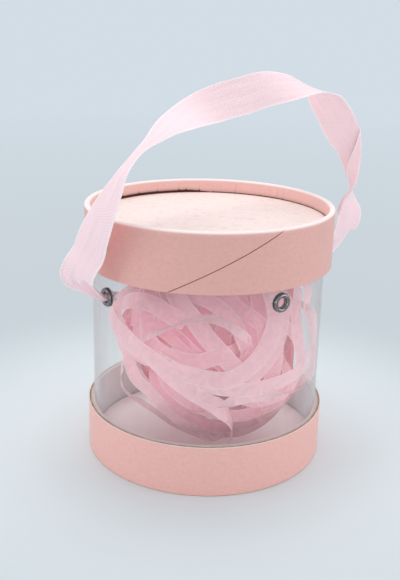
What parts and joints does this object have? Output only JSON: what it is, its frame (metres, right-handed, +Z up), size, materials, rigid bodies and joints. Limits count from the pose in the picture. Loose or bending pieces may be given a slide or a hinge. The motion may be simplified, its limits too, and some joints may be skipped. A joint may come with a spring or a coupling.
{
  "type": "cylindrical gift tube box",
  "caption": "Round gift box with a clear tube body, paper-covered board base and lift-off lid, satin ribbon handle on metal eyelets and shredded tissue inside.",
  "frame": {"origin": "centre of the flat underside of the base", "axes": "+Z up along the tube, -X and +X towards the two eyelets that carry the ribbon, -Y towards the free front eyelet"},
  "size_m": [0.1441, 0.1004, 0.1553],
  "materials": {
    "kraft_board": "raw grey-brown board with a cut edge",
    "cover_paper": "matte dusty pink cover paper with a fine grain",
    "white_paper": "matte white lining paper",
    "clear_sheet": "thin clear plastic sheet, glossy",
    "eyelet_metal": "polished dark nickel",
    "satin_ribbon": "double-faced satin, pale pink",
    "tissue_shred": "translucent pink tissue, matte"
  },
  "bodies": {
    "box": {"base_ring": "kraft_board", "base_wrap": "cover_paper", "base_liner": "white_paper", "base_disc": "kraft_board", "base_facing": "cover_paper", "floor_paper": "white_paper", "clear_tube": "clear_sheet", "eyelet_left": "eyelet_metal", "eyelet_right": "eyelet_metal", "eyelet_front": "eyelet_metal", "eyelet_back": "eyelet_metal", "washer_left": "eyelet_metal", "washer_right": "eyelet_metal", "washer_front": "eyelet_metal", "washer_back": "eyelet_metal", "shreds_outer": "tissue_shred", "shreds_middle": "tissue_shred", "shreds_inner": "tissue_shred", "shreds_core": "tissue_shred"},
    "lid": {"lid_ring": "kraft_board", "lid_wrap": "cover_paper", "lid_disc": "kraft_board", "lid_facing": "cover_paper", "lid_ceiling_paper": "white_paper", "lid_liner": "white_paper"},
    "handle": {"ribbon_handle": "satin_ribbon"}
  },
  "joints": [
    {"name": "lid_lift", "type": "slide", "parent": "box", "child": "lid", "axis": [0, 0, 1], "range_m": [0, 0.015]},
    {"name": "handle_swing", "type": "hinge", "parent": "box", "child": "handle", "pos_m": [0, 0, 0.0725], "axis": [1, 0, 0], "range_deg": [-120, 120]}
  ]
}
